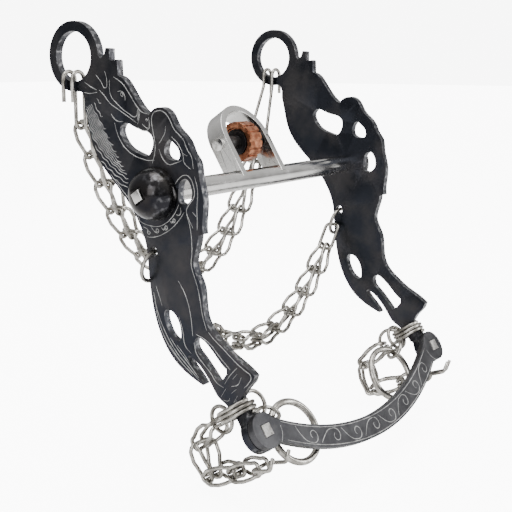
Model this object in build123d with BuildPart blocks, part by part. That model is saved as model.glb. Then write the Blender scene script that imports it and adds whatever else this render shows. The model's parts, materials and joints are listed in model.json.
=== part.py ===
from build123d import *
import os
from math import acos, asinh, cos, cosh, radians, sin, sinh, sqrt

# Curb bit.  Millimetres, +Z up as the bit hangs, +X from the left shank to the right
# shank along the mouth bar, -Y the front.  Origin: middle of the mouth bar's axis.

# ---------------------------------------------------------------- driving sizes
mouth_width = 127.0          # clear mouth between the two shanks
shank_thickness = 3.2        # plate the shanks are cut from
shank_lean = 32.6            # the shanks lean back from plumb, degrees
bar_radius = 4.0
tenon_side = 4.0             # square tenons on the bar's ends
fit_gap = 0.05               # fixed pieces in their square holes
run_gap = 0.06               # radial clearance of the roller on its axle
free_gap = 0.35              # between wires and the pieces they hang on

ring_centre_front = -8.2     # headstall ring, in the shank's own front and up
ring_centre_up = 63.5
ring_outer_radius = 13.2
ring_hole_radius = 9.4

chain_hole_front = -13.6     # hole for the lower chain by the shank's back edge
chain_hole_up = -17.2
chain_hole_radius = 1.9

foot_up = -93.7              # slobber bar rivets, below the mouth bar along the shank
foot_radius = 7.0
foot_front = -5.0            # front face of the foot pads
foot_thickness = 3.2
slobber_thickness = 3.0
slobber_disc_radius = 6.8
slobber_drop = 17.4          # middle of the slobber bar below its rivets
slobber_width = 9.2
rivet_side = 4.4
rivet_stand = 0.4            # peened ends stand this far out
rivet_head_radius = 3.4
rivet_head_height = 1.2

concho_radius = 10.0
concho_height = 10.4
concho_rim = 1.0

port_offset = -4.0           # the port stands a little left of the middle
port_half_width = 14.8
port_height = 32.0           # top of the port over the bar's axis
port_strap = 2.8
port_depth = 9.0

roller_up = 17.0
roller_radius = 8.4
roller_width = 7.6
roller_recess_radius = 6.2
roller_recess_depth = 1.3
groove_count = 15
groove_width = 0.8
groove_depth = 0.6
axle_radius = 1.6
axle_head_radius = 2.7
axle_head_height = 0.9
spacer_radius = 2.9
spacer_disc_radius = 5.4
spacer_disc_height = 0.8
spacer_play = 0.5            # the spacers stop short of the hoop's bend

wire_radius = 0.78           # chain wire
link_pitch = 13.0
link_fold = 0.84             # half the distance between the two fold wires
link_eye = 2.5               # half width of an eye
link_bend = 1.8
link_belly = 3.2             # half width of a leg loop where it is widest
link_course = [              # down a link's side: share of its belly's width, distance in
    (0.84, 0.1, 0.192),      # from the legs' plane and share of its pitch
    (1.0, 0.5, 0.5),
    (0.96, 1.45, 0.708),
]
link_throat = 0.938          # share of the pitch at which the eyes begin
link_inner = 2.5             # eyes of the curb and rein links, from the link's middle
narrow_inner = 1.5           # eyes of the lower chain's narrower links
link_step = 1.95             # leg loops at the fold stand this much further out
link_outer = link_inner + link_step
curb_behind = 1.88           # the curb chain hangs in a plane behind the ring's centre
curb_start_up = 24.0         # height of its first link's fold over the bar
curb_length = 182.0          # chains, as whole links
lower_length = 143.0
hook_round = 2.98            # bend of the hooks over the headstall rings
hook_tail = 8.5              # free ends below the bend
hook_loop = 2.4              # height of the left hook's inner loop over the first fold
hook_straight = 5.0          # the right hook starts to slant this far below its bend
hook_rise = 4.0              # and is upright again this far over the last link
hook_sink = 0.3              # the bend's centre lies this far below the ring's edge
lower_ring_wire = 0.8
lower_ring_radius = 6.0      # rings through the chain holes
lower_ring_steeper = 16.9    # they hang this much steeper than the shank leans, degrees
fold_play = 0.8              # play of a chain's fold inside the ring that carries it
chain_pull = 20.0            # the chain lies this far below the rings' middle, degrees

coil_radius = 6.6            # split ring wound round the shank's neck
coil_wire = 0.75
coil_pitch = 1.62
coil_turns = 3
neck_front = -5.15           # the split ring rests against the neck's front edge here
coil_up = -83.3
jump_radius = 5.0
jump_wire = 0.8
jump_slack = 0.75            # play of the jump rings inside the split ring
rein_angle = {-1: 5, 1: 22}  # the links leave the split ring this far from straight back
rein_bunch = [(1.0, -0.25), (0.2, -1.0), (-1.0, -0.2), (-1.0, -0.15)]
rein_hook_leg = 9.0
rein_hook_dip = 14.5         # the hook's legs slope down, its tips up, degrees
rein_hook_tip = 5.0
rein_hook_rise = 41.3
rein_ring_angle = {-1: 5, 1: -8}     # the rein rings from straight in to the front
rein_ring_dip = {-1: 51, 1: 42}      # and how steeply they hang, degrees
rein_ring_radius = 11.6
rein_ring_wire = 1.35
coupler_radius = 4.0

# ---------------------------------------------------------------- shared directions
lean = radians(shank_lean)
lower_ring_lean = shank_lean - lower_ring_steeper
coil_front = neck_front - coil_radius + coil_wire
curb_plane = (sin(lean) * ring_centre_up - cos(lean) * ring_centre_front) + curb_behind
curb_count = round(curb_length / link_pitch)
lower_count = round(lower_length / link_pitch)
FRONT = Vector(0, -cos(lean), sin(lean))     # the shank's own front
UP = Vector(0, sin(lean), cos(lean))         # up along the shank
ACROSS = Vector(1, 0, 0)
shank_inner = mouth_width / 2
shank_outer = shank_inner + shank_thickness
shank_middle = shank_inner + shank_thickness / 2


def spot(x, front, up):
    """A point given by its place across, to the front and up along the shanks."""
    return ACROSS * x + FRONT * front + UP * up


def shank_plane(x):
    """Drawing plane of a shank: right is the front, up is up the shank, facing -X."""
    return Plane(origin=(x, 0, 0), x_dir=FRONT, z_dir=(-1, 0, 0))


def facing_plane(front, x=0, up=0):
    """Drawing plane square to the shank's front, facing the front."""
    return Plane(origin=spot(x, front, up), x_dir=(1, 0, 0), z_dir=FRONT)


def save(block, label):
    block.part.label = label
    export_step(block.part, f"parts/{label}.step")


os.makedirs("parts", exist_ok=True)

# ---------------------------------------------------------------- shanks
# Each shank is one plate cut as a rearing horse, with the headstall ring at its top
# and a neck at its bottom that turns into a round pad facing the front.
forehead = [(7.6, 45.2), (9.5, 42.2), (10.1, 38), (10.5, 33), (11.3, 28.6), (12.8, 25.3)]
foreleg = [
    (12.8, 25.3), (16.2, 26.0), (20.0, 24.1), (21.6, 20.6), (21.5, 15.6), (22.8, 11.2),
    (23.3, 7.5), (22.9, 3.6), (23.2, 0.4), (21.2, -4.5), (19.7, -9.0), (17.8, -13.4),
    (14.2, -18.0), (11.4, -22.5),
]
belly = [
    (9.2, -21.9), (5.0, -26.0), (1.4, -29.8), (0.6, -33.2), (0.2, -37.4), (-1.5, -41.6),
    (-3.4, -45.2), (-4.8, -49.6), (-4.6, -54.2), (-2.9, -59.5), (-0.6, -65.0),
    (1.4, -68.4), (4.6, -75.2),
]
hoof = [(4.6, -75.2), (2.6, -76.8), (-2.0, -78.2), (-5.2, -79.8)]
neck_front = [(-5.2, -79.8), (-6.0, -82.0), (-5.9, -85.0), (-5.4, -88.0)]
hind_leg = [
    (-11.3, -88.0), (-11.7, -84.0), (-13.2, -79.3), (-15.0, -75.6), (-15.4, -71.5),
    (-15.8, -66.5), (-17.0, -61.3), (-18.7, -57.9),
]
tail_inside = [(-20.3, -57.9), (-19.9, -62.0), (-18.9, -66.4), (-18.7, -69.2)]
back = [
    (-19.4, -69.3), (-22.4, -65.2), (-25.6, -59.6), (-27.3, -54.6), (-27.9, -49.0),
    (-27.4, -42.4), (-25.6, -35.4), (-22.6, -28.0), (-18.6, -20.2), (-15.6, -14.2),
    (-14.1, -8.0), (-13.8, -1.5), (-14.6, 6.0), (-16.1, 12.4), (-17.9, 19.5),
    (-18.7, 26.0), (-18.2, 31.4), (-16.4, 37.2), (-14.0, 44.4),
]
throat_hole = [
    (-0.6, 29.4), (-2.9, 28.0), (-3.5, 25.0), (-2.6, 20.8), (0.6, 16.4), (4.4, 13.5),
    (6.6, 14.1), (9.7, 18.3), (9.2, 20.1), (6.3, 23.2), (3.4, 26.6),
]
knee_hole = [
    (16.1, 13.4), (14.0, 12.9), (11.5, 9.4), (13.4, 6.4), (16.8, 5.4), (18.1, 7.4), (17.4, 11.4),
]
chest_hole = [
    (15.1, -2.0), (12.4, -1.9), (9.6, -4.6), (8.1, -8.0), (10.2, -9.7), (13.8, -9.3),
    (15.7, -6.6), (16.0, -3.4),
]
tail_hole = [
    (-19.8, -38.2), (-17.6, -40.1), (-16.8, -43.8), (-18.0, -48.1), (-20.6, -50.8),
    (-22.9, -48.4), (-23.3, -43.4), (-22.0, -39.4),
]
leg_slot_side = [(-13.6, -53.4), (-11.4, -53.2), (-9.2, -56.4), (-7.8, -61.4), (-5.8, -68.3)]
leg_slot_back = [(-12.2, -70.9), (-13.1, -65.0), (-14.2, -60.0), (-15.0, -56.0), (-13.6, -53.4)]


def make_shank(x_face, side):
    """A whole shank; x_face is where its right-hand (+X) face lies."""
    with BuildPart() as shank:
        with BuildSketch(shank_plane(x_face)):
            with BuildLine():
                Polyline((-12.2, 47.2), (-11.6, 49.6), (-14.4, 53.6), (-8, 56), (3.0, 57.4),
                         (3.6, 55.0))
                Polyline((3.6, 55.0), (6.0, 55.2), (8.0, 56.8), (9.4, 55.6), (7.2, 52.2),
                         (8.4, 51.0), (10.0, 50.5), (10.3, 49.8), (7.6, 45.2))
                Spline(*forehead)
                Spline(*foreleg)
                Line(foreleg[-1], belly[0])
                Spline(*belly)
                Polyline(*hoof)
                Spline(*neck_front)
                Line(neck_front[-1], hind_leg[0])
                Spline(*hind_leg)
                ThreePointArc(hind_leg[-1], (-19.5, -57.2), tail_inside[0])
                Spline(*tail_inside)
                Line(tail_inside[-1], back[0])
                Spline(*back)
                Line(back[-1], (-12.2, 47.2))
            make_face()
            with Locations((ring_centre_front, ring_centre_up)):
                Circle(ring_outer_radius)
                Circle(ring_hole_radius, mode=Mode.SUBTRACT)
            for outline in (throat_hole, knee_hole, chest_hole, tail_hole):
                with BuildLine():
                    Spline(*outline, periodic=True)
                make_face(mode=Mode.SUBTRACT)
            with BuildLine():
                Spline(*leg_slot_side)
                Polyline(leg_slot_side[-1], (-6.6, -69.7), (-9.2, -70.7), leg_slot_back[0])
                Spline(*leg_slot_back)
            make_face(mode=Mode.SUBTRACT)
            with Locations((chain_hole_front, chain_hole_up)):
                Circle(chain_hole_radius, mode=Mode.SUBTRACT)
            Rectangle(tenon_side + 2 * fit_gap, tenon_side + 2 * fit_gap, mode=Mode.SUBTRACT)
        extrude(amount=shank_thickness)
        # the neck flattens from fore-and-aft to side-to-side and ends in the foot pad
        neck_top = Plane(origin=spot(side * shank_middle, -8.6, -85.0),
                         x_dir=(1, 0, 0), z_dir=(UP * -1))
        neck_end = Plane(origin=spot(side * shank_middle, foot_front - foot_thickness / 2,
                                     -89.6),
                         x_dir=(1, 0, 0), z_dir=(UP * -1))
        with BuildSketch(neck_top):
            Rectangle(shank_thickness, 5.6)
        with BuildSketch(neck_end):
            Rectangle(2 * foot_radius - 3.4, foot_thickness)
        loft()
        pad = facing_plane(foot_front - foot_thickness, side * shank_middle, foot_up)
        with BuildSketch(pad):
            Circle(foot_radius)
        extrude(amount=foot_thickness)
        with BuildSketch(pad):
            Rectangle(rivet_side + 2 * fit_gap, rivet_side + 2 * fit_gap)
        extrude(amount=foot_thickness, both=True, mode=Mode.SUBTRACT)
    return shank


left_shank = make_shank(-shank_inner, -1)
save(left_shank, "left_shank")
right_shank = make_shank(shank_outer, 1)
save(right_shank, "right_shank")

# ---------------------------------------------------------------- mouth bar
# A round bar; each end is cut down to a square tenon that passes through the shank and
# the concho and is peened over.
tenon_end = shank_outer + concho_height + rivet_stand
with BuildPart() as mouth_bar:
    with BuildSketch(Plane(origin=(-shank_inner, 0, 0), x_dir=FRONT, z_dir=(1, 0, 0))):
        Circle(bar_radius)
    extrude(amount=mouth_width)
    with BuildSketch(Plane(origin=(-tenon_end, 0, 0), x_dir=FRONT, z_dir=(1, 0, 0))):
        Rectangle(tenon_side, tenon_side)
    extrude(amount=2 * tenon_end)
save(mouth_bar, "mouth_bar")


# ---------------------------------------------------------------- conchos
# A domed boss on the outside of each shank, with a square hole for the bar's tenon.
def make_concho(side):
    dome_radius = (concho_radius ** 2 + (concho_height - concho_rim) ** 2) / (
        2 * (concho_height - concho_rim))
    slope = acos((dome_radius - (concho_height - concho_rim)) / dome_radius) / 2
    base = side * shank_outer
    apex = side * (shank_outer + concho_height)
    middle_x = apex - side * dome_radius * (1 - cos(slope))
    with BuildPart() as concho:
        with BuildSketch(Plane.XY):
            with BuildLine():
                Polyline((apex, 0), (base, 0), (base, concho_radius),
                         (base + side * concho_rim, concho_radius))
                ThreePointArc((base + side * concho_rim, concho_radius),
                              (middle_x, dome_radius * sin(slope)), (apex, 0))
            make_face()
        revolve(axis=Axis.X)
        with BuildSketch(shank_plane(shank_outer + concho_height + 5)):
            Rectangle(tenon_side + 2 * fit_gap, tenon_side + 2 * fit_gap)
        extrude(amount=2 * (shank_outer + concho_height + 5), mode=Mode.SUBTRACT)
        # a shallow square sinking round the peened end
        with BuildSketch(Plane(origin=(apex, 0, 0), x_dir=FRONT, z_dir=(-side, 0, 0))):
            Rectangle(tenon_side + 1.2, tenon_side + 1.2)
        extrude(amount=1.4, mode=Mode.SUBTRACT)
    return concho


left_concho = make_concho(-1)
save(left_concho, "left_concho")
right_concho = make_concho(1)
save(right_concho, "right_concho")

# ---------------------------------------------------------------- port
# A flat strap bent into a hoop, standing on the bar and leaning with the shanks.
port_centre_up = port_height - port_half_width
port_inner = port_half_width - port_strap
with BuildPart() as port_arch:
    with BuildSketch(facing_plane(-port_depth / 2, port_offset)):
        with BuildLine():
            Polyline((-port_inner, port_centre_up), (-port_inner, 0), (-port_half_width, 0),
                     (-port_half_width, port_centre_up))
            ThreePointArc((-port_half_width, port_centre_up), (0, port_height),
                          (port_half_width, port_centre_up))
            Polyline((port_half_width, port_centre_up), (port_half_width, 0),
                     (port_inner, 0), (port_inner, port_centre_up))
            ThreePointArc((port_inner, port_centre_up),
                          (0, port_centre_up + port_inner), (-port_inner, port_centre_up))
        make_face()
    extrude(amount=port_depth)
    with BuildSketch(Plane(origin=(-shank_inner, 0, 0), x_dir=FRONT, z_dir=(1, 0, 0))):
        Circle(bar_radius)
    extrude(amount=mouth_width, mode=Mode.SUBTRACT)
    axle_plane = Plane(origin=spot(-shank_inner, 0, roller_up),
                       x_dir=FRONT, z_dir=(1, 0, 0))
    with BuildSketch(axle_plane):
        Circle(axle_radius + fit_gap)
    extrude(amount=mouth_width, mode=Mode.SUBTRACT)
save(port_arch, "port_arch")


def axle_at(x):
    """Drawing plane square to the roller's axle at this place across."""
    return Plane(origin=spot(port_offset + x, 0, roller_up),
                 x_dir=FRONT, z_dir=(1, 0, 0))


# ---------------------------------------------------------------- roller, axle, spacers
# The copper roller turns on a riveted axle; a dark spacer on each side keeps it central.
with BuildPart() as roller:
    with BuildSketch(axle_at(-roller_width / 2)):
        Circle(roller_radius)
        Circle(axle_radius + run_gap, mode=Mode.SUBTRACT)
    extrude(amount=roller_width)
    with BuildSketch(axle_at(-roller_width / 2)):
        Circle(roller_recess_radius)
    extrude(amount=roller_recess_depth, mode=Mode.SUBTRACT)
    with BuildSketch(axle_at(roller_width / 2 - roller_recess_depth)):
        Circle(roller_recess_radius)
    extrude(amount=roller_recess_depth, mode=Mode.SUBTRACT)
    with BuildSketch(axle_at(-roller_width / 2)):
        with PolarLocations(roller_radius, groove_count):
            Rectangle(2 * groove_depth, groove_width)
    extrude(amount=roller_width, mode=Mode.SUBTRACT)
save(roller, "roller")

with BuildPart() as roller_axle:
    with BuildSketch(axle_at(-port_half_width - axle_head_height)):
        Circle(axle_radius)
    extrude(amount=2 * (port_half_width + axle_head_height))
    with BuildSketch(axle_at(-port_half_width - axle_head_height)):
        Circle(axle_head_radius)
    extrude(amount=axle_head_height)
    with BuildSketch(axle_at(port_half_width)):
        Circle(axle_head_radius)
    extrude(amount=axle_head_height)
save(roller_axle, "roller_axle")


def make_spacer(side):
    disc_face = roller_width / 2 - roller_recess_depth + free_gap
    with BuildPart() as spacer:
        with BuildSketch(axle_at(side * disc_face)):
            Circle(spacer_disc_radius)
        extrude(amount=side * spacer_disc_height)
        with BuildSketch(axle_at(side * disc_face)):
            Circle(spacer_radius)
        extrude(amount=side * (port_inner - spacer_play - disc_face))
        with BuildSketch(axle_at(0)):
            Circle(axle_radius + fit_gap)
        extrude(amount=side * port_half_width, mode=Mode.SUBTRACT)
    return spacer


left_spacer = make_spacer(-1)
save(left_spacer, "left_roller_spacer")
right_spacer = make_spacer(1)
save(right_spacer, "right_roller_spacer")

# ---------------------------------------------------------------- slobber bar
# A flat crescent across the front of the two foot pads, with a round end on each pad.
outer_drop = slobber_drop + slobber_width / 2
inner_drop = slobber_drop - slobber_width / 2
slobber_front = foot_front + slobber_thickness
with BuildPart() as slobber_bar:
    with BuildSketch(facing_plane(foot_front, 0, foot_up)):
        with BuildLine():
            ThreePointArc((-61, -5.4), (0, -outer_drop), (61, -5.4))
            Line((61, -5.4), (59.4, 3.4))
            ThreePointArc((59.4, 3.4), (0, -inner_drop), (-59.4, 3.4))
            Line((-59.4, 3.4), (-61, -5.4))
        make_face()
        with Locations((-shank_middle, 0), (shank_middle, 0)):
            Circle(slobber_disc_radius)
            Rectangle(rivet_side + 2 * fit_gap, rivet_side + 2 * fit_gap, mode=Mode.SUBTRACT)
    extrude(amount=slobber_thickness)
save(slobber_bar, "slobber_bar")


def make_slobber_rivet(side):
    """Square rivet through pad and bar, round head behind, peened flush in front."""
    back_face = foot_front - foot_thickness
    with BuildPart() as rivet:
        with BuildSketch(facing_plane(back_face - rivet_head_height, side * shank_middle,
                                      foot_up)):
            Circle(rivet_head_radius)
        extrude(amount=rivet_head_height)
        with BuildSketch(facing_plane(back_face, side * shank_middle, foot_up)):
            Rectangle(rivet_side, rivet_side)
        extrude(amount=foot_thickness + slobber_thickness + rivet_stand)
    return rivet


left_slobber_rivet = make_slobber_rivet(-1)
save(left_slobber_rivet, "left_slobber_rivet")
right_slobber_rivet = make_slobber_rivet(1)
save(right_slobber_rivet, "right_slobber_rivet")

# ---------------------------------------------------------------- chain links
# Loop-in-loop chain: each link is one closed wire loop folded double.  The fold passes
# through both eyes of the link above it, the two eyes hang side by side below.
# A link is drawn hanging along -Z from the middle of its fold, its eyes apart in Y.
eye_end = link_pitch + 2 * wire_radius + 0.4


def make_link(inner):
    """A folded wire link whose eyes stand this far from its middle."""
    outer = inner + link_step
    leg_corners = [
        (link_fold, outer, 0),
        *[(link_belly * wide, outer - inset, -link_pitch * down)
          for wide, inset, down in link_course],
        (link_eye, inner, -link_pitch * link_throat), (link_eye, inner, -eye_end),
    ]
    link_corners = [
        (link_fold, 0, 0), *leg_corners, *[(-x, y, z) for x, y, z in leg_corners[::-1]],
        (-link_fold, 0, 0),
    ]
    with BuildPart() as link:
        with BuildLine():
            FilletPolyline(*link_corners, radius=link_bend)
        with BuildSketch(Plane(origin=(link_fold, 0, 0), z_dir=(0, 1, 0))):
            Circle(wire_radius)
        sweep()
        mirror(about=Plane.XZ)
    return link


wide_link = make_link(link_inner)
narrow_link = make_link(narrow_inner)


def frame_of(start, end, eyes_apart):
    """Where a link lies whose fold is at start and whose eyes hang round end."""
    down = (end - start).normalized()
    return Location(Plane(origin=start, x_dir=eyes_apart.cross(down * -1), z_dir=down * -1))


def group(pieces, label):
    """Separate solids of one kind, kept together as one node."""
    joined = Compound(pieces)
    joined.label = label
    export_step(joined, f"parts/{label}.step")
    return joined


def links_between(points, eyes_apart, link):
    return [link.part.moved(frame_of(points[k], points[k + 1], eyes_apart))
            for k in range(len(points) - 1)]


def hanging_points(start, count):
    """Places along a catenary from start (on the left) to its mirror on the right."""
    half_length = count * link_pitch / 2
    half_span = -start.X
    small, large = 1.0, 1000.0
    for _ in range(60):
        size = (small + large) / 2
        if size * sinh(half_span / size) > half_length:
            small = size
        else:
            large = size
    top = size * cosh(half_span / size)
    points = []
    for k in range(count + 1):
        x = size * asinh((k * link_pitch - half_length) / size)
        points.append(Vector(x, start.Y, start.Z - top + size * cosh(x / size)))
    return points


# ---------------------------------------------------------------- curb chain
# Hangs between the headstall rings.  On the left a wire hook with two prongs over the
# ring ends in two eyes for the first link's fold; on the right a plain double hook
# passes through the last link's eyes.
ring_centre = spot(0, ring_centre_front, ring_centre_up)
curb_start = Vector(-shank_middle + hook_round + link_eye, curb_plane, curb_start_up)
curb_points = hanging_points(curb_start, curb_count + 1)
BACKWARD = Vector(0, 1, 0)


# the ring's inner edge is highest at the back prong, so that one sets the bends' height
hook_reach = curb_plane + link_inner - ring_centre.Y
bend_height = ring_centre.Z - sqrt(ring_hole_radius ** 2 - hook_reach ** 2) - hook_sink


def hang_over_ring(y, side):
    """One prong: up outside the shank, over the ring's lower edge and down to the inside."""
    outside = side * (shank_middle + hook_round)
    inside = side * (shank_middle - hook_round)
    Line((outside, y, bend_height - hook_tail), (outside, y, bend_height))
    ThreePointArc((outside, y, bend_height),
                  (side * shank_middle, y, bend_height + hook_round),
                  (inside, y, bend_height))
    return Vector(inside, y, bend_height)


near_y = curb_plane - link_inner
middle_plane = Plane(origin=(0, curb_plane, 0), z_dir=(0, 1, 0))
with BuildPart() as left_curb_hook:
    with BuildLine() as course:
        over = hang_over_ring(near_y, -1)
        far_x = over.X + 2 * link_eye
        loop_up = curb_start_up + hook_loop
        Line(over, (over.X, near_y, curb_start_up))
        ThreePointArc((over.X, near_y, curb_start_up),
                      (over.X + link_eye, near_y, curb_start_up - link_eye),
                      (far_x, near_y, curb_start_up))
        Line((far_x, near_y, curb_start_up), (far_x, near_y, loop_up))
        RadiusArc((far_x, near_y, loop_up), (far_x, curb_plane, loop_up + link_inner),
                  link_inner)
    with BuildSketch(Plane(origin=course.wire() @ 0, z_dir=course.wire() % 0)):
        Circle(wire_radius)
    sweep()
    mirror(about=middle_plane)
save(left_curb_hook, "left_curb_hook")

curb_links = group(links_between(curb_points[:-1], BACKWARD, wide_link), "curb_chain_links")

with BuildPart() as right_curb_hook:
    last = curb_points[-2]
    hook_near = curb_plane - link_outer
    with BuildLine() as course:
        over = hang_over_ring(near_y, 1)
        FilletPolyline(over, (over.X, near_y, over.Z - hook_straight),
                       (last.X, hook_near, last.Z + hook_rise), (last.X, hook_near, last.Z),
                       (last.X, curb_plane, last.Z), radius=link_bend)
    with BuildSketch(Plane(origin=course.wire() @ 0, z_dir=course.wire() % 0)):
        Circle(wire_radius)
    sweep()
    mirror(about=middle_plane)
save(right_curb_hook, "right_curb_hook")


# ---------------------------------------------------------------- lower chain
# Hangs between two wire rings that pass through the holes by the shanks' back edges.
def make_ring(plane, radius, wire):
    """A round wire ring lying in this plane."""
    with BuildPart() as ring:
        with BuildSketch(Plane(origin=plane.origin + plane.x_dir * radius,
                               x_dir=plane.x_dir, z_dir=plane.y_dir)):
            Circle(wire)
        revolve(axis=Axis(plane.origin, plane.z_dir))
    return ring


ring_lean = radians(lower_ring_lean)
RING_DOWN = Vector(0, sin(ring_lean), -cos(ring_lean))


def lower_ring_plane(side):
    hole = spot(side * shank_middle, chain_hole_front, chain_hole_up)
    return Plane(origin=hole + RING_DOWN * lower_ring_radius, x_dir=RING_DOWN,
                 z_dir=ACROSS.cross(RING_DOWN))


left_lower_ring = make_ring(lower_ring_plane(-1), lower_ring_radius, lower_ring_wire)
save(left_lower_ring, "left_lower_ring")
right_lower_ring = make_ring(lower_ring_plane(1), lower_ring_radius, lower_ring_wire)
save(right_lower_ring, "right_lower_ring")

inside_ring = lower_ring_radius - lower_ring_wire - wire_radius - fold_play
pull = radians(chain_pull)
lower_start = lower_ring_plane(-1).origin + (ACROSS * cos(pull) + RING_DOWN * sin(pull)) * (
    inside_ring)
lower_points = hanging_points(lower_start, lower_count + 1)
lower_links = group(links_between(lower_points[:-1], BACKWARD, narrow_link),
                    "lower_chain_links")


def make_oval(first, second, sideways, half_width, wire, label):
    """A long wire ring whose two ends cross the line from first to second."""
    along = second - first
    middle = (first + second) * 0.5
    with BuildPart() as oval:
        with BuildLine(Plane(origin=middle, x_dir=along,
                             z_dir=along.cross(sideways))) as course:
            Polyline((-along.length / 2, -half_width), (along.length / 2, -half_width),
                     (along.length / 2, half_width), (-along.length / 2, half_width),
                     close=True)
            fillet(course.vertices(), 2.0)
        begin = course.wire() @ 0
        with BuildSketch(Plane(origin=begin, z_dir=course.wire() % 0)):
            Circle(wire)
        sweep()
    save(oval, label)
    return oval


lower_connector = make_oval(lower_points[-2], lower_points[-1], BACKWARD,
                            narrow_inner + link_step,
                            wire_radius, "lower_chain_connector")


# ---------------------------------------------------------------- rein chains
# A split ring is wound round each shank's neck.  A jump ring on it carries the
# rein chain's links, gathered up in a bunch that ends in an open hook, and two small
# rings on its inner side carry the rein ring.
def make_coil(side):
    """A coil of wire whose axis runs up along the shank; its ends are at the front."""
    with BuildPart() as coil:
        with BuildLine():
            turns = Helix(coil_pitch, coil_pitch * coil_turns, coil_radius)
        with BuildSketch(Plane(origin=turns @ 0, z_dir=turns % 0)):
            Circle(coil_wire)
        sweep(is_frenet=True)
    base = spot(side * shank_middle, coil_front, coil_up - coil_pitch * coil_turns / 2)
    coil.part = coil.part.moved(Location(Plane(origin=base, x_dir=FRONT, z_dir=UP)))
    return coil


def make_strand(side, name):
    """Jump ring and bunched links of one side's rein chain."""
    turn = radians(rein_angle[side])
    outward = FRONT * -cos(turn) + ACROSS * (-side * sin(turn))
    sideways = UP.cross(outward)
    axis_point = spot(side * shank_middle, coil_front, coil_up)
    near = coil_radius - coil_wire - jump_wire - jump_slack
    centre = axis_point + outward * (near + jump_radius)
    jump = make_ring(Plane(origin=centre, x_dir=outward, z_dir=sideways), jump_radius, jump_wire)
    save(jump, f"{name}_jump_ring")
    steps = [(outward * out + UP * up).normalized() for out, up in rein_bunch]
    points = [centre + steps[0] * (jump_radius - jump_wire - wire_radius - free_gap)]
    for step in steps:
        points.append(points[-1] + step * link_pitch)
    group(links_between(points, sideways, wide_link), f"{name}_links")
    return points, outward, sideways


left_coil = make_coil(-1)
save(left_coil, "left_split_ring")
right_coil = make_coil(1)
save(right_coil, "right_split_ring")

left_points, left_outward, left_sideways = make_strand(-1, "left_rein")
right_points, right_outward, right_sideways = make_strand(1, "right_rein")


def make_rein_hook(end, outward, sideways):
    """Open double hook through the last link's eyes, its two legs side by side."""
    dip = radians(rein_hook_dip)
    rise = radians(rein_hook_rise)
    leg = outward * -cos(dip) - UP * sin(dip)
    tip = outward * -cos(rise) + UP * sin(rise)
    corners = []
    for reach in (link_outer, -link_outer):
        ends = [end + sideways * reach + leg * rein_hook_leg + tip * rein_hook_tip,
                end + sideways * reach + leg * rein_hook_leg, end + sideways * reach]
        corners += ends if reach > 0 else ends[::-1]
    with BuildPart() as hook:
        with BuildLine():
            course = FilletPolyline(*corners, radius=link_bend)
        with BuildSketch(Plane(origin=course @ 0, z_dir=course % 0)):
            Circle(wire_radius)
        sweep()
    return hook


left_rein_hook = make_rein_hook(left_points[-1], left_outward, left_sideways)
save(left_rein_hook, "left_rein_hook")
right_rein_hook = make_rein_hook(right_points[-1], right_outward, right_sideways)
save(right_rein_hook, "right_rein_hook")


def make_rein_ring(side, name):
    """Two small rings on the inner side of the split ring, and the rein ring in them."""
    turn = radians(rein_ring_angle[side])
    dip = radians(rein_ring_dip[side])
    inward = ACROSS * (-side * cos(turn)) + FRONT * sin(turn)
    square = UP.cross(inward)
    near = coil_radius - coil_wire - jump_wire - jump_slack
    centre = spot(side * shank_middle, coil_front, coil_up) + inward * (near + jump_radius)
    carrier = make_ring(Plane(origin=centre, x_dir=inward, z_dir=square),
                        jump_radius, jump_wire)
    save(carrier, f"{name}_ring_carrier")
    lie = inward * cos(dip) - UP * sin(dip)
    first = centre + lie * (jump_radius - 2 * jump_wire - free_gap + coupler_radius)
    coupler = make_ring(Plane(origin=first, x_dir=lie, z_dir=lie.cross(square)),
                        coupler_radius, jump_wire)
    save(coupler, f"{name}_ring_coupler")
    reach = coupler_radius - jump_wire - rein_ring_wire - free_gap + rein_ring_radius
    ring = make_ring(Plane(origin=first + lie * reach, x_dir=lie, z_dir=square),
                     rein_ring_radius, rein_ring_wire)
    save(ring, f"{name}_ring")


make_rein_ring(-1, "left_rein")
make_rein_ring(1, "right_rein")
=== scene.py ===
import json
from math import cos, pi, radians, sin

import bmesh
import bpy
from mathutils import Matrix, Vector

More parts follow.
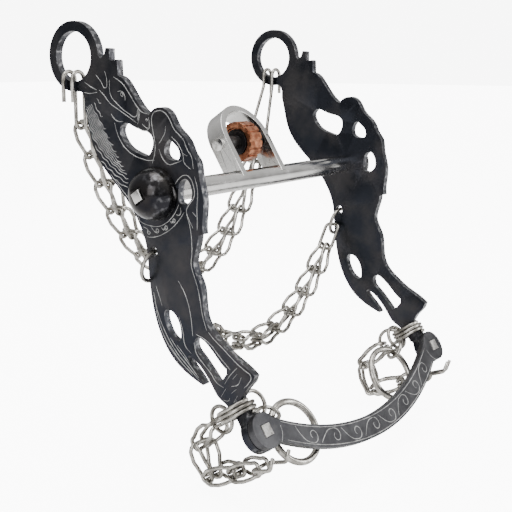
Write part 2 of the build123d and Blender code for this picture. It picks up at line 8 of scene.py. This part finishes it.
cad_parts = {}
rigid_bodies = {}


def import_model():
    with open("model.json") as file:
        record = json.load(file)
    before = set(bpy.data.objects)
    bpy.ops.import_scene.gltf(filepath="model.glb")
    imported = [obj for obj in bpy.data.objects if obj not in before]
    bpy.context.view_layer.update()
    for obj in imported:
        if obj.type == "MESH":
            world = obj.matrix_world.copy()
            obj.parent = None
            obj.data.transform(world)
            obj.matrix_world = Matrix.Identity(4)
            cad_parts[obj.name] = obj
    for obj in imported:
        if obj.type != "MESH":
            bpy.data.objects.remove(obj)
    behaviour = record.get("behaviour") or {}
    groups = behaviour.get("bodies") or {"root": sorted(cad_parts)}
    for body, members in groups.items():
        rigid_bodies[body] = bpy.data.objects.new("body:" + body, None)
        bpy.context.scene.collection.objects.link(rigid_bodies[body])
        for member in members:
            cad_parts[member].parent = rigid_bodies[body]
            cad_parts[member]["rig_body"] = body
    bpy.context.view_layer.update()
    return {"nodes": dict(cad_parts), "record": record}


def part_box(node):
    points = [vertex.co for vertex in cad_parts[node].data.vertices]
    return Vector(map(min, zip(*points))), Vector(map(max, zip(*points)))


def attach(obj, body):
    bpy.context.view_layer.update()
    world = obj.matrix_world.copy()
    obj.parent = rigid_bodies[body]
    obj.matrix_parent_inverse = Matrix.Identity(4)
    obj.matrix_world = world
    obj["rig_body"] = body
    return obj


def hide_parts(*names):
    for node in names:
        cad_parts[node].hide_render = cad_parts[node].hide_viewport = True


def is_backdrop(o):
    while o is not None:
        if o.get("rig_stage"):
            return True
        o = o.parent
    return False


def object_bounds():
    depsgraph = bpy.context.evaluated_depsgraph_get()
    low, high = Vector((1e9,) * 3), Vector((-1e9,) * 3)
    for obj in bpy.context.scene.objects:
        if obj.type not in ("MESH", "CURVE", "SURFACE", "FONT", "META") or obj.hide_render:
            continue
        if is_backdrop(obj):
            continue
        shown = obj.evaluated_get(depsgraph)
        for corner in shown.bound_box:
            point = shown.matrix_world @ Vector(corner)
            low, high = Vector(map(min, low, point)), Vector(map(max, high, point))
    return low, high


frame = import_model()

# ---------------------------------------------------------------- shanks
# Two 3.2 mm steel plates cut as rearing horses, blackened all over and polished to a deep
# gloss; their cut edges are painted lighter in spots, partly as wear and partly as painted
# glints.  The shanks lean back from plumb.
mm = 0.001
shank_lean = radians(32.6)
FRONT = Vector((0, -cos(shank_lean), sin(shank_lean)))
UP = Vector((0, sin(shank_lean), cos(shank_lean)))


class Shade:
    """A socket of a finish, on which arithmetic can be written."""

    def __init__(self, finish, socket):
        self.finish = finish
        self.socket = socket

    def maths(self, operation, first, second):
        return self.finish.node("ShaderNodeMath", {"operation": operation},
                                {0: first, 1: second})

    def __add__(self, other):
        return self.maths("ADD", self, other)

    def __mul__(self, other):
        return self.maths("MULTIPLY", self, other)


class Finish:
    """A metal's finish: plain settings on its shader, and node() for what varies."""

    def __init__(self, name, **settings):
        self.material = bpy.data.materials.new(name)
        self.material.use_nodes = True
        self.tree = self.material.node_tree
        self.shader = self.tree.nodes["Principled BSDF"]
        for socket, value in settings.items():
            self.shader.inputs[socket.replace("_", " ")].default_value = value
        self.place = self.node("ShaderNodeTexCoord", {}, {}, "Object")

    def node(self, kind, settings, inputs, output=0):
        made = self.tree.nodes.new(kind)
        for setting, value in settings.items():
            setattr(made, setting, value)
        for socket, value in inputs.items():
            if isinstance(value, Shade):
                self.tree.links.new(value.socket, made.inputs[socket])
            else:
                made.inputs[socket].default_value = value
        return Shade(self, made.outputs[output])

    def grain(self, size, detail=4.0, stretch=(1, 1, 1)):
        """Noise with patches about this many metres across."""
        drawn = self.node("ShaderNodeMapping", {}, {"Vector": self.place, "Scale": stretch})
        return self.node("ShaderNodeTexNoise", {},
                         {"Vector": drawn, "Scale": 1 / size, "Detail": detail})

    def band(self, value, low, high, to_low=0.0, to_high=1.0):
        """Value's range from low to high, spread over another range and clamped."""
        return self.node("ShaderNodeMapRange", {},
                         {"Value": value, "From Min": low, "From Max": high,
                          "To Min": to_low, "To Max": to_high})

    def mixed(self, amount, first, second):
        """A colour between two, by amount."""
        return self.node("ShaderNodeMix", {"data_type": "RGBA"},
                         {0: amount, 6: first, 7: second}, 2)

    def edge_wear_and_glints(self):
        """1 on surfaces that face away from left and right, such as a plate's cut edge."""
        normal = self.node("ShaderNodeTexCoord", {}, {}, "Normal")
        across = self.node("ShaderNodeSeparateXYZ", {}, {0: normal}, "X")
        squared = across * across
        return self.band(squared, 0.75, 0.35)

    def feed(self, socket, value):
        self.tree.links.new(value.socket, self.shader.inputs[socket])

    def bump(self, height, depth, strength=1.0):
        self.feed("Normal", self.node("ShaderNodeBump", {},
                                      {"Height": height, "Distance": depth,
                                       "Strength": strength}))


def blackened(name, dark, brown, rub_and_glint, gloss, waves=0.0, spotted=1.0):
    """Blackened steel, cloudy brown in the black, with wear and painted glints in spots on
    its cut edges.
    """
    finish = Finish(name, Specular_IOR_Level=0.5)
    cloud = finish.band(finish.grain(0.012, 6), 0.42, 0.66)
    pits = finish.grain(0.0006, 3)
    wiped = finish.grain(0.006, 5)
    spots = finish.grain(0.0018, 4)
    body = finish.mixed(cloud, dark, brown)
    # cut edges lighter in spots: partly wear, partly painted glints
    body = finish.mixed(finish.edge_wear_and_glints() * finish.band(spots, 0.5, 0.68, 0.10, 0.85)
                        * spotted, body, rub_and_glint)
    finish.feed("Base Color", body)
    finish.feed("Roughness", finish.band(wiped, 0.25, 0.75, gloss, gloss + 0.14))
    finish.feed("Metallic", finish.band(cloud, 0, 1, 0.95, 0.75))
    worn_edge = finish.edge_wear_and_glints() * spots * (8.0 * spotted)
    finish.bump(pits + worn_edge + finish.grain(0.006, 1) * waves, 0.00002, 0.5)
    return finish.material


def dressed(node, material, crease=32, bevel=0.0):
    """A merged copy of a CAD node with smooth rounds and eased corners, in its place."""
    mesh = frame["nodes"][node].data.copy()
    work = bmesh.new()
    work.from_mesh(mesh)
    bmesh.ops.remove_doubles(work, verts=work.verts, dist=0.002 * mm)
    for face in work.faces:
        face.smooth = True
    work.to_mesh(mesh)
    work.free()
    mesh.set_sharp_from_angle(angle=radians(crease))
    mesh.materials.clear()
    mesh.materials.append(material)
    piece = bpy.data.objects.new(node + "_dressed", mesh)
    bpy.context.scene.collection.objects.link(piece)
    if bevel:
        ease = piece.modifiers.new("eased corners", "BEVEL")
        ease.width = bevel
        ease.segments = 2
        ease.limit_method = "ANGLE"
        ease.angle_limit = radians(50)
        ease.harden_normals = True
    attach(piece, frame["nodes"][node]["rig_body"])
    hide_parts(node)
    return piece


# The third colour of each blackened finish is its cut edges' wear and painted glints.
gunmetal = blackened("blackened shank steel", (0.022, 0.024, 0.031, 1),
                     (0.036, 0.034, 0.036, 1), (0.30, 0.30, 0.31, 1), 0.26)
for side in ("left", "right"):
    dressed(f"{side}_shank", gunmetal, bevel=0.22 * mm)

# ---------------------------------------------------------------- shank engraving
# The horse's mane, bridle, legs and tail are cut by hand into the outer face of each
# plate and read as thin light lines.  Each cut is shown by a bright strip that stands a
# hair proud of the face.
cut_width = 0.33 * mm
cut_height = 0.05 * mm               # how far a strip stands proud of its face
first_end = 0.55                     # a strip's two ends, as shares of its width
last_end = 0.45
outer_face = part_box("left_concho")[1].x      # the conchos sit flat on the outer faces

mane_top = 46                        # height over the mouth bar, along the shank
mane_length = 33                     # from there down to about its lowest strands
strand_top = 44.5                    # no strand is drawn above this height
strand_sway = 0.28                   # half the width of a strand's waves
strand_waves = 1.5                   # and their turn in radians for each mm of height
least_slope = 0.03                   # how far a strand runs back for each mm of height
more_slope = 0.6                     # at the mane's top, and what is added lower down
tip_front = 0.9                      # a strand's point, from the lowest of its bends
tip_drop = 0.6


def lowered(height, depth):
    """0 at the top of the mane, easing to 1 at this depth below it."""
    return sin(min(1, (mane_top - height) / depth) * pi / 2)


def mane_front(height):
    """Where a strand that ends at this height has its lowest bend."""
    return -4.2 - 5.6 * lowered(height, 16)


def mane_back(height):
    """How far back a strand may run at this height."""
    return -13.5 - 4.4 * lowered(height, 20) + max(0, 22 - height) * 0.25


def mane_strand(x, low):
    """One wavy strand, drawn from its pointed end up and back along the neck."""
    points = [(x + tip_front, low - tip_drop)]
    height = low
    edge = x - 1
    while height < strand_top and x > edge:
        points.append((x + strand_sway * sin(height * strand_waves), height))
        x -= least_slope + more_slope * ((mane_top - height) / mane_length) ** 2
        height += 1
        edge = mane_back(height)
    return points


mane_ends = [42.0, 37.5, 33.0, 29.2, 26.0, 23.3, 20.9, 18.8, 16.9, 15.2, 13.6]
mane = [mane_strand(mane_front(height), height) for height in mane_ends]
mane += [mane_strand(x, low) for x, low in ((-10.1, 11.9), (-11.0, 10.6), (-12.1, 9.3))]
bridle = [
    [(-3.5, 46), (-2.5, 43), (-1.5, 39), (0.5, 35.5), (3.5, 30.5), (6, 26.2)],
    [(3, 46), (0.5, 41.5), (1.5, 37), (4.5, 31), (7, 28.2), (9.3, 30)],
    [(-1.8, 51.5), (-1, 48), (-0.3, 44.8), (2, 47), (2.8, 50)],
    [(6.2, 25.5), (8, 27), (10, 29)], [(6.8, 26.6), (8.3, 28), (9.8, 30.2)],
    [(-8.5, 52.5), (-6.5, 49), (-4.5, 46.5)], [(-11, 49.5), (-8.5, 47.5), (-5, 45.8)],
]
head = [
    [(4.3, 40.5), (6, 39.5), (6.5, 37.5), (5.8, 35.8)],
    [(4.9, 38.6), (5.4, 39.2), (6.0, 38.5), (5.4, 37.7), (4.9, 38.6)],
    [(5.5, 46), (8, 41.5), (8.8, 37), (9.2, 33), (9.7, 30), (10.5, 28), (12.3, 26.2)],
    [(10.4, 24.6), (10.9, 24.9), (11.2, 24.3), (10.6, 24.1)],
    [(8.2, 24.5), (9, 22.5), (9.8, 21.5)],
    [(5.5, 24.5), (7, 22.4), (9, 21.3), (10.5, 21.7), (12.2, 24.8)],
    [(-3.2, 35.5), (-2.8, 33), (-1.5, 31.2), (0.5, 30.0)],
]
neck = [
    [(-3.6, 31.8), (-4.6, 28), (-4.7, 24.5), (-3.8, 20.6), (-1.5, 16.6), (1, 14),
     (3.6, 11.8), (6.1, 10.6)],
    [(-16.3, 17), (-14.4, 9), (-12.8, 3), (-12.9, -5)],
]
legs = [
    [(4.5, 10.2), (7, 12.1), (9.2, 14.6), (11.2, 19.4), (12.9, 23.2), (14.8, 24.8),
     (17, 24.6), (19.3, 23), (20.4, 20), (20.4, 15), (21.4, 12), (22, 10), (21.7, 6),
     (22, 3), (20.4, -1)],
    [(11.3, 14.5), (13.5, 15.2), (15.8, 16.2), (17.5, 18)],
    [(17.9, 13.4), (19.2, 9.5), (18.9, 5.3), (17.9, 3), (19.3, -0.5)],
    [(10.2, 12.9), (9.9, 9), (11.2, 5.9), (14, 4.9), (17.3, 4.1)],
    [(18.9, 6.5), (20.4, 4.2)],
    [(9.6, -1.6), (11.5, -0.8), (15.7, -0.9), (17.2, -2.6), (17.1, -6), (15.4, -9.2),
     (11, -10.8), (9.2, -12), (8.6, -15), (8.6, -18.5)],
    [(9.9, -20.0), (11.7, -17.4), (14, -13.6), (16.2, -10.8), (18.2, -7.6), (19.4, -3.4)],
    [(11.5, -13.5), (12.2, -15.8)],
    [(8.4, -14), (7.4, -18), (5.5, -22), (3, -26), (0.6, -29), (-0.6, -33), (-1.3, -37),
     (-3, -42), (-5, -47), (-6.3, -52.5)],
    [(-8.5, -31.5), (-8.2, -35), (-8.7, -40), (-10.5, -45.5), (-12.5, -49.6),
     (-13.6, -51.8)],
    [(-11.8, -51.8), (-9.2, -54.7), (-7.2, -58.6), (-6.3, -62.4), (-5.2, -66), (-4.2, -69)],
    [(-14.4, -54), (-15.6, -58), (-14.8, -62), (-13.4, -66.5), (-12.6, -71), (-10.6, -73.6)],
    [(-5.9, -53.5), (-4.9, -57), (-3.1, -61), (-1.1, -66), (0.4, -69.3), (2.0, -72),
     (3.2, -74.6), (0.6, -76.4), (-2, -77)],
    [(-9.5, -72.6), (-6, -71.0), (-1, -69.6)], [(-7, -74.5), (-4, -75), (-1, -73.3)],
    [(-5, -72.4), (-2, -71.5)], [(-13.6, -76), (-10, -74.3)],
    [(-13.2, -77.6), (-11.3, -78.5), (-10, -77.8)], [(-9.3, -80), (-6.4, -78.4)],
    [(-9.0, -81.5), (-7.6, -79.2)], [(-8.3, -76.6), (-5.5, -76.2)],
]
tail = [
    [(-19.5, -28.5), (-20.2, -32), (-21.0, -36)],
    [(-15.8, -43), (-16.9, -48), (-19, -53.5), (-17.9, -57.0)],
    [(-22, -30), (-24.3, -37), (-25.2, -45), (-24.3, -54), (-22, -61), (-20, -67)],
    [(-23.3, -33), (-25.8, -40), (-26.6, -48), (-25.4, -55), (-23, -61.5)],
    [(-24.1, -48), (-23.2, -53), (-21.3, -59.5), (-19.7, -66)],
    [(-22.6, -51.6), (-21.5, -55.5), (-20.7, -59.5)],
    [(-25.9, -50.5), (-24.6, -57), (-21.8, -64)],
]


def curl(x, up, radius, start, turns):
    """A scroll's inner end: a spiral from its rim at the start angle inwards."""
    steps = int(10 * turns)
    points = []
    for k in range(steps + 1):
        reach = radius * (1 - 0.75 * k / steps)
        angle = start + 2 * pi * turns * k / steps
        points.append((x + reach * cos(angle), up + reach * sin(angle)))
    return points


breast_band = [
    [(-13.0, -11.2), (-10, -12.8), (-5, -13.9), (0, -13.9), (4, -13.2), (8.2, -11.8)],
    [(-12.8, -5), (-11.4, -6.6), (-9.6, -8.2), (-6, -10.4), (-2, -11.1), (3, -10.4),
     (7.3, -8.4)],
    [(-12.6, -7.2), (-11.5, -8.6), *curl(-11.3, -10.2, 0.9, pi / 2, 1.2)],
    [(-9.2, -9.2), (-8.5, -11.4), *curl(-7.3, -11.4, 1.0, pi, 1.3)],
    [(-4.8, -11.4), (-4.2, -12.8), *curl(-2.8, -12.4, 1.0, pi, 1.3)],
    [(0.2, -11.4), (0.8, -12.4), *curl(2.0, -12.0, 0.9, pi, 1.3)],
    [(4.2, -10.6), (5.2, -11.6), (6.6, -11.2), (7.4, -9.6)],
]
shank_strokes = mane + bridle + head + neck + legs + tail + breast_band


def engrave(name, strokes, seat, material):
    """Thin flat strips along the strokes, drawn in millimetres; seat places them."""
    drawing = bpy.data.curves.new(name, "CURVE")
    drawing.dimensions = "3D"
    drawing.bevel_depth = cut_width / 2
    drawing.bevel_resolution = 0
    drawing.resolution_u = 4
    drawing.use_fill_caps = True
    for stroke in strokes:
        line = drawing.splines.new("BEZIER")
        line.bezier_points.add(len(stroke) - 1)
        for point, (right, up) in zip(line.bezier_points, stroke):
            point.co = (right * mm, up * mm, 0)
            point.handle_left_type = "AUTO"
            point.handle_right_type = "AUTO"
        line.bezier_points[0].radius = first_end
        line.bezier_points[-1].radius = last_end
    pen = bpy.data.objects.new(name + "_pen", drawing)
    bpy.context.scene.collection.objects.link(pen)
    bpy.context.view_layer.update()
    mesh = bpy.data.meshes.new_from_object(pen.evaluated_get(
        bpy.context.evaluated_depsgraph_get()))
    bpy.data.objects.remove(pen)
    work = bmesh.new()
    work.from_mesh(mesh)
    bmesh.ops.scale(work, verts=work.verts, vec=(1, 1, cut_height / cut_width * 2))
    bmesh.ops.transform(work, verts=work.verts, matrix=seat)
    bmesh.ops.recalc_face_normals(work, faces=work.faces)
    work.to_mesh(mesh)
    work.free()
    mesh.materials.clear()
    mesh.materials.append(material)
    cuts = bpy.data.objects.new(name, mesh)
    bpy.context.scene.collection.objects.link(cuts)
    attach(cuts, "bit")


def seat_on(origin, right, up, out):
    """Matrix that takes drawn right, up and out of the page to these directions."""
    turn = Matrix((right, up, out)).transposed().to_4x4()
    return Matrix.Translation(origin) @ turn


cut_finish = Finish("engraved bright cuts", Metallic=0.85)
cut_wear = cut_finish.grain(0.003, 5)
cut_finish.feed("Base Color", cut_finish.mixed(cut_finish.band(cut_wear, 0.35, 0.65),
                                               (0.26, 0.26, 0.26, 1), (0.55, 0.55, 0.54, 1)))
cut_finish.feed("Roughness", cut_finish.band(cut_wear, 0.3, 0.7, 0.42, 0.62))
for name, out in (("left_shank_engraving", -1), ("right_shank_engraving", 1)):
    face = Vector((out * -outer_face, 0, 0))
    engrave(name, shank_strokes, seat_on(face, FRONT, UP, Vector((out, 0, 0))),
            cut_finish.material)

# ---------------------------------------------------------------- mouth bar and port
# A round bar of bright polished steel, riveted through the shanks with square ends, and
# a strap bent into a hoop and brazed to it; both carry fine wiping scratches.
bright = Finish("polished steel", Metallic=1.0)
scratch = bright.grain(0.0009, 6, (0.12, 1, 1))
smear = bright.grain(0.009, 4)
bright.feed("Base Color", bright.mixed(bright.band(smear, 0.35, 0.7),
                                       (0.60, 0.59, 0.57, 1), (0.74, 0.73, 0.71, 1)))
bright.feed("Roughness", bright.band(scratch + smear * 0.6, 0.55, 1.1, 0.10, 0.30))
bright.bump(scratch, 0.00003, 0.5)
dressed("mouth_bar", bright.material, bevel=0.25 * mm)
dressed("port_arch", bright.material, bevel=0.9 * mm)
dressed("roller_axle", bright.material, bevel=0.3 * mm)

# ---------------------------------------------------------------- conchos
# A solid steel dome outside each shank, blackened like the shank and polished brighter,
# held by the peened end of the mouth bar in a square sinking.
polished_black = blackened("blackened concho steel", (0.010, 0.010, 0.013, 1),
                           (0.030, 0.026, 0.022, 1), (0.10, 0.10, 0.105, 1), 0.07,
                           waves=22.0)
for side in ("left", "right"):
    dressed(f"{side}_concho", polished_black, bevel=0.35 * mm)

# ---------------------------------------------------------------- roller and spacers
# A toothed copper roller in the port, turned from bar, its rim worn bright and its
# grooves dark; the spacers beside it are dark oxidised steel.
copper = Finish("worn copper", Metallic=1.0)
tarnish = copper.grain(0.0022, 6)
turning = copper.grain(0.0007, 3, (4, 1, 1))
copper.feed("Base Color", copper.mixed(copper.band(tarnish, 0.4, 0.65),
                                       (0.22, 0.080, 0.040, 1), (0.56, 0.25, 0.14, 1)))
copper.feed("Roughness", copper.band(tarnish, 0.3, 0.7, 0.52, 0.32))
copper.bump(turning, 0.00004, 0.5)
dressed("roller", copper.material, bevel=0.18 * mm)
oxide = blackened("oxidised spacer steel", (0.020, 0.019, 0.020, 1),
                  (0.035, 0.028, 0.024, 1), (0.08, 0.075, 0.07, 1), 0.35)
for side in ("left", "right"):
    dressed(f"{side}_roller_spacer", oxide, bevel=0.15 * mm)

# ---------------------------------------------------------------- slobber bar
# A flat crescent that ties the two feet together, blackened and then rubbed back to a
# mid grey, with a border line along each edge and a running scroll between the two.
rubbed_face = blackened("rubbed slobber bar steel", (0.052, 0.052, 0.056, 1),
                        (0.082, 0.082, 0.086, 1), (0.20, 0.20, 0.205, 1), 0.32,
                        spotted=0.12)
dressed("slobber_bar", rubbed_face, bevel=0.3 * mm)

foot_up = -93.7 * mm                 # rivets of the bar, down along the shanks
bar_face = -2.0 * mm                 # its front face, in the shanks' own front
outer_round = 120.4                  # the crescent's lower edge and upper edge: radii
outer_middle = 98.4                  # and how far their middles lie over the rivets
inner_round = 117.0
inner_middle = 104.2
border = 1.0                         # border lines stand in from the edges
border_reach = radians(28.6)
half_sweep = radians(28.0)           # the angle that a share of 1 stands for


def along(share, inset):
    """A point this far above the crescent's middle line; share runs from -1 to 1 on it."""
    angle = share * half_sweep
    radius = (outer_round + inner_round) / 2
    middle = (outer_middle + inner_middle) / 2
    return (radius - inset) * sin(angle), middle - (radius - inset) * cos(angle)


def arc(radius, middle, reach):
    """An arc round a middle this far over the rivets, to the same reach on both sides."""
    return [(radius * sin(reach * k / 12), middle - radius * cos(reach * k / 12))
            for k in range(-12, 13)]


scroll = [arc(outer_round - border, outer_middle, border_reach),
          arc(inner_round + border, inner_middle, border_reach)]
scroll_count = 8
half_length = 59.1                   # drawn mm to a share of 1; the true arc is 58.0
scroll_end = 0.92                    # share of the middle line that the scroll takes up
stem = [(-6.6, 2.7), (-4.4, 0.2), (-1.4, -2.2), (1.4, -2.8)]
curl_front = 2.9                     # the curl at a stem's end: its middle, its first
curl_radius = 2.8                    # radius, the share that each step takes off it and
curl_shrink = 0.06                   # the degrees that each step turns
curl_turn = 33
curled = [(curl_front + curl_radius * (1 - curl_shrink * k) * sin(radians(curl_turn * k)),
           -curl_radius * (1 - curl_shrink * k) * cos(radians(curl_turn * k)))
          for k in range(11)]
for k in range(scroll_count):
    turned = 1 if k % 2 else -1
    middle = ((k + 0.5) / scroll_count * 2 - 1) * scroll_end
    scroll.append([along(middle + x / half_length, -up * turned) for x, up in stem + curled])
for end in (-1, 1):
    scroll.append([(end * 57.4, -0.6), (end * 58.2, -3.4), (end * 60.6, -6.2)])
engrave("slobber_bar_engraving", scroll,
        seat_on(FRONT * bar_face + UP * foot_up, Vector((1, 0, 0)), UP, FRONT),
        cut_finish.material)

# ---------------------------------------------------------------- slobber bar rivets
# Square steel rivets through foot and bar, peened over and filed, left bare.
bare = Finish("filed rivet steel", Metallic=0.9)
hammer = bare.grain(0.0011, 5)
bare.feed("Base Color", bare.mixed(bare.band(hammer, 0.35, 0.65),
                                   (0.26, 0.25, 0.235, 1), (0.54, 0.53, 0.51, 1)))
bare.feed("Roughness", bare.band(hammer, 0.3, 0.7, 0.35, 0.6))
bare.bump(hammer, 0.00025, 0.8)
for side in ("left", "right"):
    dressed(f"{side}_slobber_rivet", bare.material, bevel=0.3 * mm)

# ---------------------------------------------------------------- chains and rings
# Round stainless wire: loop-in-loop links, their hooks, the split rings on the shanks'
# necks and the rings that hang on them, all bright but slightly warm and dull.
wire = Finish("stainless chain wire", Metallic=1.0)
dull = wire.grain(0.0035, 5)
drawn = wire.grain(0.0005, 3)
wire.feed("Base Color", wire.mixed(wire.band(dull, 0.35, 0.65),
                                   (0.17, 0.16, 0.142, 1), (0.52, 0.50, 0.46, 1)))
wire.feed("Roughness", wire.band(dull, 0.3, 0.7, 0.36, 0.20))
wire.bump(drawn, 0.00003, 0.4)
for node in frame["record"]["subparts"]:
    if node["material_slot"] == "chain_wire":
        dressed(node["node"], wire.material, crease=50)

# ---------------------------------------------------------------- studio
# A pale floor just under the hanging bit, soft light from above, from the left and from
# the front right, and a camera close to the bit's left front.  The floor's glow and the
# white backdrop show to the camera alone; the steel is lit by the lamps, by a grey sky
# that brightens upwards, and by the floor under them.
floor_gap = 4 * mm
floor_glow = 9.0
backdrop_glow = 10.0
sky_strength = 0.9
level_shade = 0.28                   # the sky's shade at the horizon and below it
high_shade = 1.2                     # and overhead, where a direction's z passes high_from
high_from = 0.8

low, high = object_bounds()
floor_mesh = bpy.data.meshes.new("studio_floor")
work = bmesh.new()
bmesh.ops.create_grid(work, x_segments=1, y_segments=1, size=6)
bmesh.ops.translate(work, verts=work.verts, vec=(0, 0, low.z - floor_gap))
work.to_mesh(floor_mesh)
work.free()
floor = bpy.data.objects.new("studio_floor", floor_mesh)
bpy.context.scene.collection.objects.link(floor)
floor_finish = Finish("pale studio paper", Roughness=0.9, Specular_IOR_Level=0.1,
                      Emission_Strength=floor_glow)
seen = floor_finish.node("ShaderNodeLightPath", {}, {}, "Is Camera Ray")
floor_finish.feed("Emission Color", floor_finish.mixed(seen, (0, 0, 0, 1), (1, 1, 1, 1)))
floor_finish.feed("Base Color", floor_finish.mixed(
    floor_finish.band(floor_finish.grain(0.4), 0.3, 0.7),
    (0.93, 0.93, 0.93, 1), (0.96, 0.96, 0.96, 1)))
floor_mesh.materials.append(floor_finish.material)
floor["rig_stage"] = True

world = bpy.data.worlds.new("soft studio")
bpy.context.scene.world = world
world.use_nodes = True
air = world.node_tree
sky = air.nodes["Background"]
sky.inputs["Strength"].default_value = sky_strength
way_up = air.nodes.new("ShaderNodeSeparateXYZ")
air.links.new(air.nodes.new("ShaderNodeTexCoord").outputs["Generated"], way_up.inputs[0])
shading = air.nodes.new("ShaderNodeMapRange")
shading.inputs["From Min"].default_value = 0.0
shading.inputs["From Max"].default_value = high_from
shading.inputs["To Min"].default_value = level_shade
shading.inputs["To Max"].default_value = high_shade
air.links.new(way_up.outputs["Z"], shading.inputs["Value"])
air.links.new(shading.outputs["Result"], sky.inputs["Color"])
paper = air.nodes.new("ShaderNodeBackground")
paper.inputs["Strength"].default_value = backdrop_glow
choice = air.nodes.new("ShaderNodeMixShader")
air.links.new(air.nodes.new("ShaderNodeLightPath").outputs["Is Camera Ray"], choice.inputs[0])
air.links.new(sky.outputs[0], choice.inputs[1])
air.links.new(paper.outputs[0], choice.inputs[2])
air.links.new(choice.outputs[0], air.nodes["World Output"].inputs["Surface"])


def softbox(name, place, aim, width, height, power):
    lamp = bpy.data.lights.new(name, "AREA")
    lamp.shape = "RECTANGLE"
    lamp.size = width
    lamp.size_y = height
    lamp.energy = power
    holder = bpy.data.objects.new(name, lamp)
    holder.matrix_world = Matrix.Translation(place) @ (
        Vector(aim) - Vector(place)).to_track_quat("-Z", "Y").to_matrix().to_4x4()
    bpy.context.scene.collection.objects.link(holder)


softbox("overhead softbox", (-0.1, -0.1, 0.9), (0, 0, 0), 0.7, 0.7, 9)
softbox("front left softbox", (-0.9, -0.35, 0.35), (0, 0, 0), 0.5, 0.7, 5)
softbox("right softbox", (0.5, -0.8, 0.2), (0, 0, 0), 0.25, 0.8, 5)

camera_place = Vector((-0.32563, -0.23678, 0.04705))
look = Vector((0.78799, 0.58330, -0.19705))
right = Vector((0.59497, -0.80375, 0))
lens = bpy.data.cameras.new("camera")
lens.lens = 67.9
lens.sensor_width = 36
lens.clip_start = 0.01
camera = bpy.data.objects.new("camera", lens)
camera.matrix_world = seat_on(camera_place, right, right.cross(look), -look)
bpy.context.scene.collection.objects.link(camera)
bpy.context.scene.camera = camera

low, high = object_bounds()
